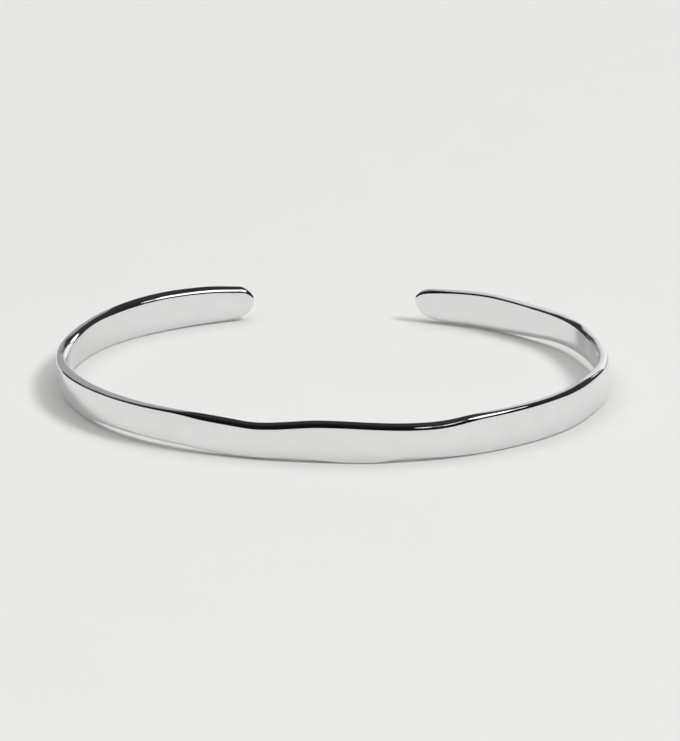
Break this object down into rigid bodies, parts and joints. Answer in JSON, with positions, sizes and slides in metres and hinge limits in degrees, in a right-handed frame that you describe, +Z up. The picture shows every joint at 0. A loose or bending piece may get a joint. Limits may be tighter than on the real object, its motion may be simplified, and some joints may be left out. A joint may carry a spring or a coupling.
{
  "type": "cuff bracelet",
  "caption": "Open cuff bracelet: a narrow hand-hammered strip of polished silver with wavy edges, bent into an oval with rounded ends and a gap at the back.",
  "frame": {"origin": "on the surface that the cuff lies on, under the middle of its box", "axes": "+Z up, at right angles to the oval; +X from side to side; +Y towards the opening between the ends, -Y towards the front of the cuff"},
  "size_m": [0.0612, 0.0494, 0.0046],
  "materials": {
    "silver": "polished, hand hammered"
  },
  "bodies": {
    "root": {"cuff": "silver"}
  },
  "joints": []
}
